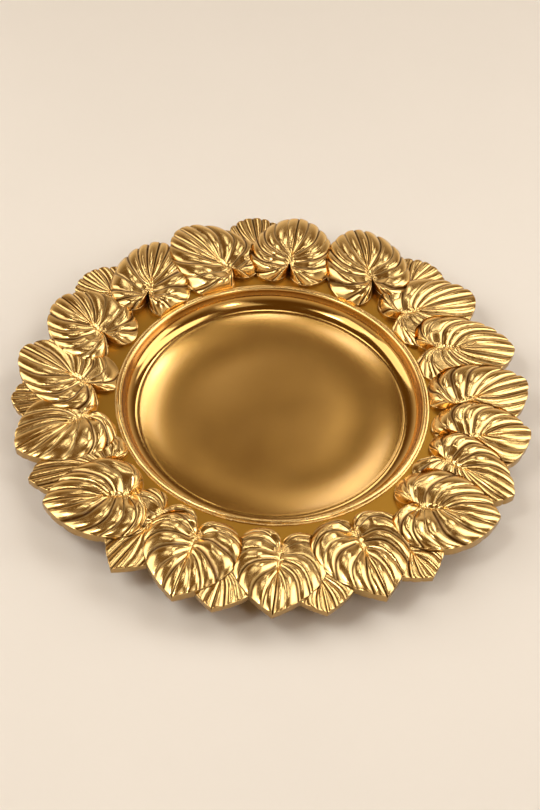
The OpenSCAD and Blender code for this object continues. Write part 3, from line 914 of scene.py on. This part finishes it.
class CHARGER_OT_leaves(bpy.types.Operator):
    """Grow the leaves and trim each one to those that lap over it"""
    bl_idname = "charger.leaves"
    bl_label = "Leaves"

    def execute(self, context):
        charger = context.scene.charger
        sizes = charger.leaf
        bead_r = BEAD_OUT_R - charger.dish.step - charger.dish.bead / 2
        gold = burnished_gold(charger.finish)
        tree = leaf_tree(2 * sizes.pleats * PLEAT_COLUMNS + 1)
        # The same leaf as a tall prism, a gap larger all round, cuts those that it laps
        tall = {"Edge": PRISM_H, "Lobe edge": PRISM_H, "Knot": PRISM_H, "Crown": 0, "Relief": 0, "Lift": 0,
                "Undercut": 0, "Margin gap": sizes.lap_gap, "Seat height": RIM_Z - PRISM_SUNK}
        leaves, cutters = [], []
        for number, name in enumerate(LEAF_NAMES):
            values = leaf_values(number, sizes, bead_r)
            leaves.append(grown_leaf("charger_" + name, tree, values, gold))
            cutters.append(grown_leaf("cutter_" + name, tree, {**values, **tall}, gold))
        reach = BEAD_OUT_R + sizes.lap_gap
        well = [(0, 0), (reach, 0), (reach, 2 * RIM_Z), (0, 2 * RIM_Z)]
        cutters.append(turned("cutter_well", well, charger.dish.segments, gold))
        for number, leaf in enumerate(leaves):
            for other in range(number + 1, len(leaves)):
                angle = abs(LEAF_ROWS[number][0] - LEAF_ROWS[other][0])
                if min(angle, 360 - angle) < LAP_ANGLE:
                    trim(leaf, cutters[other])
            trim(leaf, cutters[-1])
        depsgraph = context.evaluated_depsgraph_get()
        meshes = [bpy.data.meshes.new_from_object(leaf.evaluated_get(depsgraph)) for leaf in leaves]
        for leaf, mesh, node in zip(leaves, meshes, LEAF_NAMES):
            if not mesh.polygons:
                raise RuntimeError(f"{leaf.name} came out empty")
            leaf.modifiers.clear()
            leaf.data = mesh
            mesh.name = leaf.name
            # The cutters leave material slots behind
            mesh.materials.clear()
            mesh.materials.append(gold)
            mesh.polygons.foreach_set("material_index", [0] * len(mesh.polygons))
            mesh.shade_smooth()
            mesh.set_sharp_from_angle(angle=math.radians(SHARP_LEAF))
            dress(leaf, node)
        for cutter in cutters:
            bpy.data.objects.remove(cutter)
        return {"FINISHED"}


class CHARGER_OT_stage(bpy.types.Operator):
    """Set the floor, the light and the camera"""
    bl_idname = "charger.stage"
    bl_label = "Stage"

    def execute(self, context):
        scene, stage = context.scene, context.scene.charger.stage
        scene.view_settings.view_transform = "Standard"
        self.floor(stage)
        scene.world = self.studio(stage)
        self.softboxes()
        scene.camera = self.camera(stage)
        return {"FINISHED"}

    def floor(self, stage):
        """Lays the floor, which is stage and not part of the plate."""
        half = FLOOR_HALF
        mesh = bpy.data.meshes.new("floor")
        corners = [(-half, -half, 0), (half, -half, 0), (half, half, 0), (-half, half, 0)]
        mesh.from_pydata(corners, [], [(0, 1, 2, 3)])
        mesh.materials.append(cream_plaster(stage))
        new_piece("floor", mesh)

    def studio(self, stage):
        """World with an even warm light and a pale wall."""
        world = bpy.data.worlds.new("studio")
        world.use_nodes = True
        tree = world.node_tree
        even = tree.nodes["Background"]
        even.inputs["Color"].default_value = (*stage.ambient, 1)
        even.inputs["Strength"].default_value = stage.world
        # The wall is low round the table. It shows to the camera and in the metal but lights nothing
        place = add_node(tree, "ShaderNodeTexCoord").outputs["Generated"]
        height = add_node(tree, "ShaderNodeSeparateXYZ", {0: place}).outputs[2]
        wall = add_node(tree, "ShaderNodeMapRange", {"Value": height, "From Min": WALL_FADE[0],
                                                     "From Max": WALL_FADE[1], "To Min": stage.wall,
                                                     "To Max": 0}, interpolation_type="SMOOTHSTEP")
        strength = add_node(tree, "ShaderNodeMath", {0: wall.outputs[0], 1: shown_rays(tree)},
                            operation="MULTIPLY")
        pale = add_node(tree, "ShaderNodeBackground", {"Color": (*stage.wall_colour, 1),
                                                       "Strength": strength.outputs[0]})
        both = add_node(tree, "ShaderNodeAddShader", {0: even.outputs[0], 1: pale.outputs[0]})
        tree.links.new(both.outputs[0], tree.nodes["World Output"].inputs["Surface"])
        return world

    def softboxes(self):
        """Sets the softboxes round the plate, turned to the middle of its rim."""
        aim = Vector((0, 0, RIM_Z))
        for name, bearing, elevation, distance, width, height, watts in SOFTBOXES:
            light = bpy.data.lights.new(name, "AREA")
            light.shape = "RECTANGLE"
            light.size, light.size_y = width, height
            light.energy = watts
            lamp = new_piece(name, light)
            b, e = math.radians(bearing), math.radians(elevation)
            away = Vector((math.cos(b) * math.cos(e), math.sin(b) * math.cos(e), math.sin(e)))
            lamp.location = aim + away * distance
            lamp.rotation_euler = away.to_track_quat("Z", "Y").to_euler()

    def camera(self, stage):
        """Camera on its target, rolled about its axis."""
        lens = bpy.data.cameras.new("camera")
        lens.sensor_fit = "VERTICAL"
        lens.sensor_height = SENSOR
        lens.lens = stage.lens
        camera = new_piece("camera", lens)
        e, roll = stage.elevation, stage.roll
        back = Vector((0, -math.cos(e), math.sin(e)))
        right = Vector((1, 0, 0))
        up = back.cross(right)
        turned_right = math.cos(roll) * right + math.sin(roll) * up
        turned_up = math.cos(roll) * up - math.sin(roll) * right
        axes = Matrix((turned_right, turned_up, back)).transposed().to_4x4()
        camera.matrix_world = Matrix.Translation(Vector(stage.target) + back * stage.distance) @ axes
        return camera


OPERATORS = (CHARGER_OT_dish, CHARGER_OT_foot, CHARGER_OT_bead, CHARGER_OT_leaves, CHARGER_OT_stage)


class CHARGER_PT_plate(bpy.types.Panel):
    """Lists the pieces of the plate and their settings"""
    bl_idname = "CHARGER_PT_plate"
    bl_label = "Charger plate"
    bl_space_type = "VIEW_3D"
    bl_region_type = "UI"
    bl_category = "Charger plate"

    def draw(self, context):
        for operator in OPERATORS:
            self.layout.operator(operator.bl_idname)
        charger = context.scene.charger
        for group in (charger.leaf, charger.dish, charger.finish, charger.stage):
            box = self.layout.box()
            for name in group.__annotations__:
                box.prop(group, name)


CLASSES = (LeafSizes, DishSizes, Finishes, StageSettings, ChargerPlate, *OPERATORS, CHARGER_PT_plate)


def register():
    for cls in CLASSES:
        bpy.utils.register_class(cls)
    bpy.types.Scene.charger = bpy.props.PointerProperty(type=ChargerPlate)


def unregister():
    del bpy.types.Scene.charger
    for cls in reversed(CLASSES):
        bpy.utils.unregister_class(cls)


def main():
    register()
    bpy.ops.charger.dish()
    bpy.ops.charger.foot()
    bpy.ops.charger.bead()
    bpy.ops.charger.leaves()
    bpy.ops.charger.stage()


if __name__ == "__main__":
    main()
